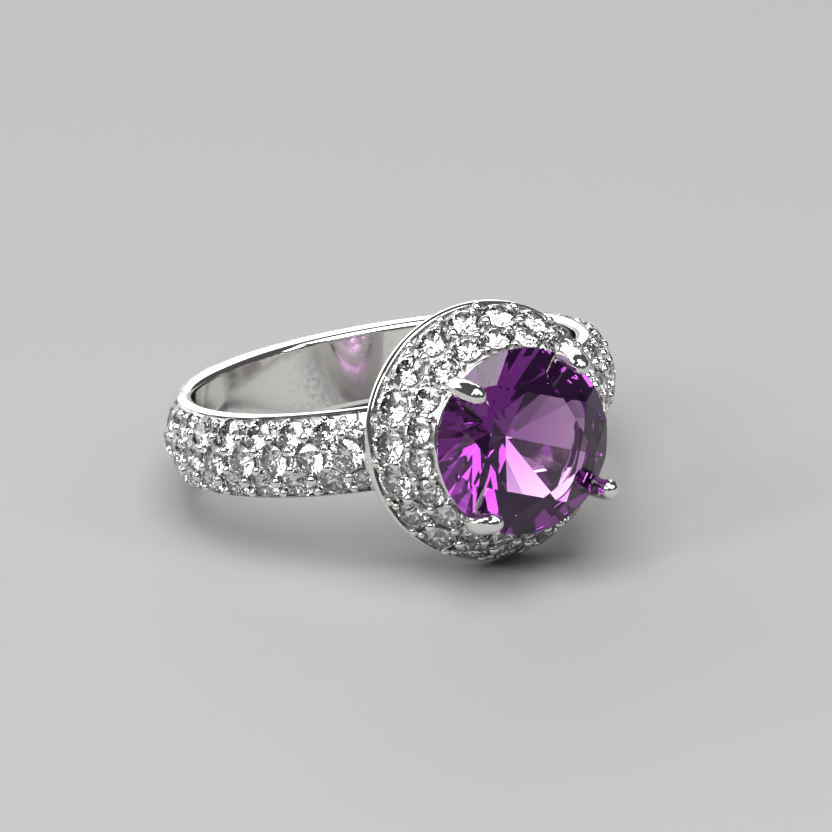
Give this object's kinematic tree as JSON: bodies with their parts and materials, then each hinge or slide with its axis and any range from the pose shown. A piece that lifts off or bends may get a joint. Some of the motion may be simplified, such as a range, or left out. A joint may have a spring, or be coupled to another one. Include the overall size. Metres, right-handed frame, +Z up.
{
  "type": "cocktail ring",
  "caption": "Finger ring with a claw-set round purple stone in a raised pavé halo and pavé shoulders on a half-round polished shank.",
  "frame": {"origin": "on the surface that the ring lies on, under the middle of its bounding box", "axes": "+Z up with the ring lying on its side, resting on the halo's rim and the base of the shank; the centre stone faces -Y, tilted up about 12 degrees; +X across the head"},
  "size_m": [0.02, 0.0258, 0.0111],
  "materials": {
    "polished_metal": "polished white metal, rhodium-plated silver or white gold",
    "centre_stone": "faceted and polished amethyst-purple gemstone",
    "small_stones": "faceted and polished colourless brilliants"
  },
  "bodies": {
    "root": {"shank": "polished_metal", "halo": "polished_metal", "gallery_rail": "polished_metal", "seat_rail": "polished_metal", "claw_1": "polished_metal", "claw_2": "polished_metal", "claw_3": "polished_metal", "claw_4": "polished_metal", "centre_stone": "centre_stone", "halo_inner_stone_1": "small_stones", "halo_inner_stone_2": "small_stones", "halo_inner_stone_3": "small_stones", "halo_inner_stone_4": "small_stones", "halo_inner_stone_5": "small_stones", "halo_inner_stone_6": "small_stones", "halo_inner_stone_7": "small_stones", "halo_inner_stone_8": "small_stones", "halo_inner_stone_9": "small_stones", "halo_inner_stone_10": "small_stones", "halo_inner_stone_11": "small_stones", "halo_inner_stone_12": "small_stones", "halo_inner_stone_13": "small_stones", "halo_inner_stone_14": "small_stones", "halo_inner_stone_15": "small_stones", "halo_inner_stone_16": "small_stones", "halo_inner_stone_17": "small_stones", "halo_inner_stone_18": "small_stones", "halo_inner_stone_19": "small_stones", "halo_outer_stone_1": "small_stones", "halo_outer_stone_2": "small_stones", "halo_outer_stone_3": "small_stones", "halo_outer_stone_4": "small_stones", "halo_outer_stone_5": "small_stones", "halo_outer_stone_6": "small_stones", "halo_outer_stone_7": "small_stones", "halo_outer_stone_8": "small_stones", "halo_outer_stone_9": "small_stones", "halo_outer_stone_10": "small_stones", "halo_outer_stone_11": "small_stones", "halo_outer_stone_12": "small_stones", "halo_outer_stone_13": "small_stones", "halo_outer_stone_14": "small_stones", "halo_outer_stone_15": "small_stones", "halo_outer_stone_16": "small_stones", "halo_outer_stone_17": "small_stones", "halo_outer_stone_18": "small_stones", "halo_outer_stone_19": "small_stones", "left_middle_row": "small_stones", "left_upper_row": "small_stones", "left_lower_row": "small_stones", "left_upper_corner_stone": "small_stones", "left_lower_corner_stone": "small_stones", "right_middle_row": "small_stones", "right_upper_row": "small_stones", "right_lower_row": "small_stones", "right_upper_corner_stone": "small_stones", "right_lower_corner_stone": "small_stones"}
  },
  "joints": []
}
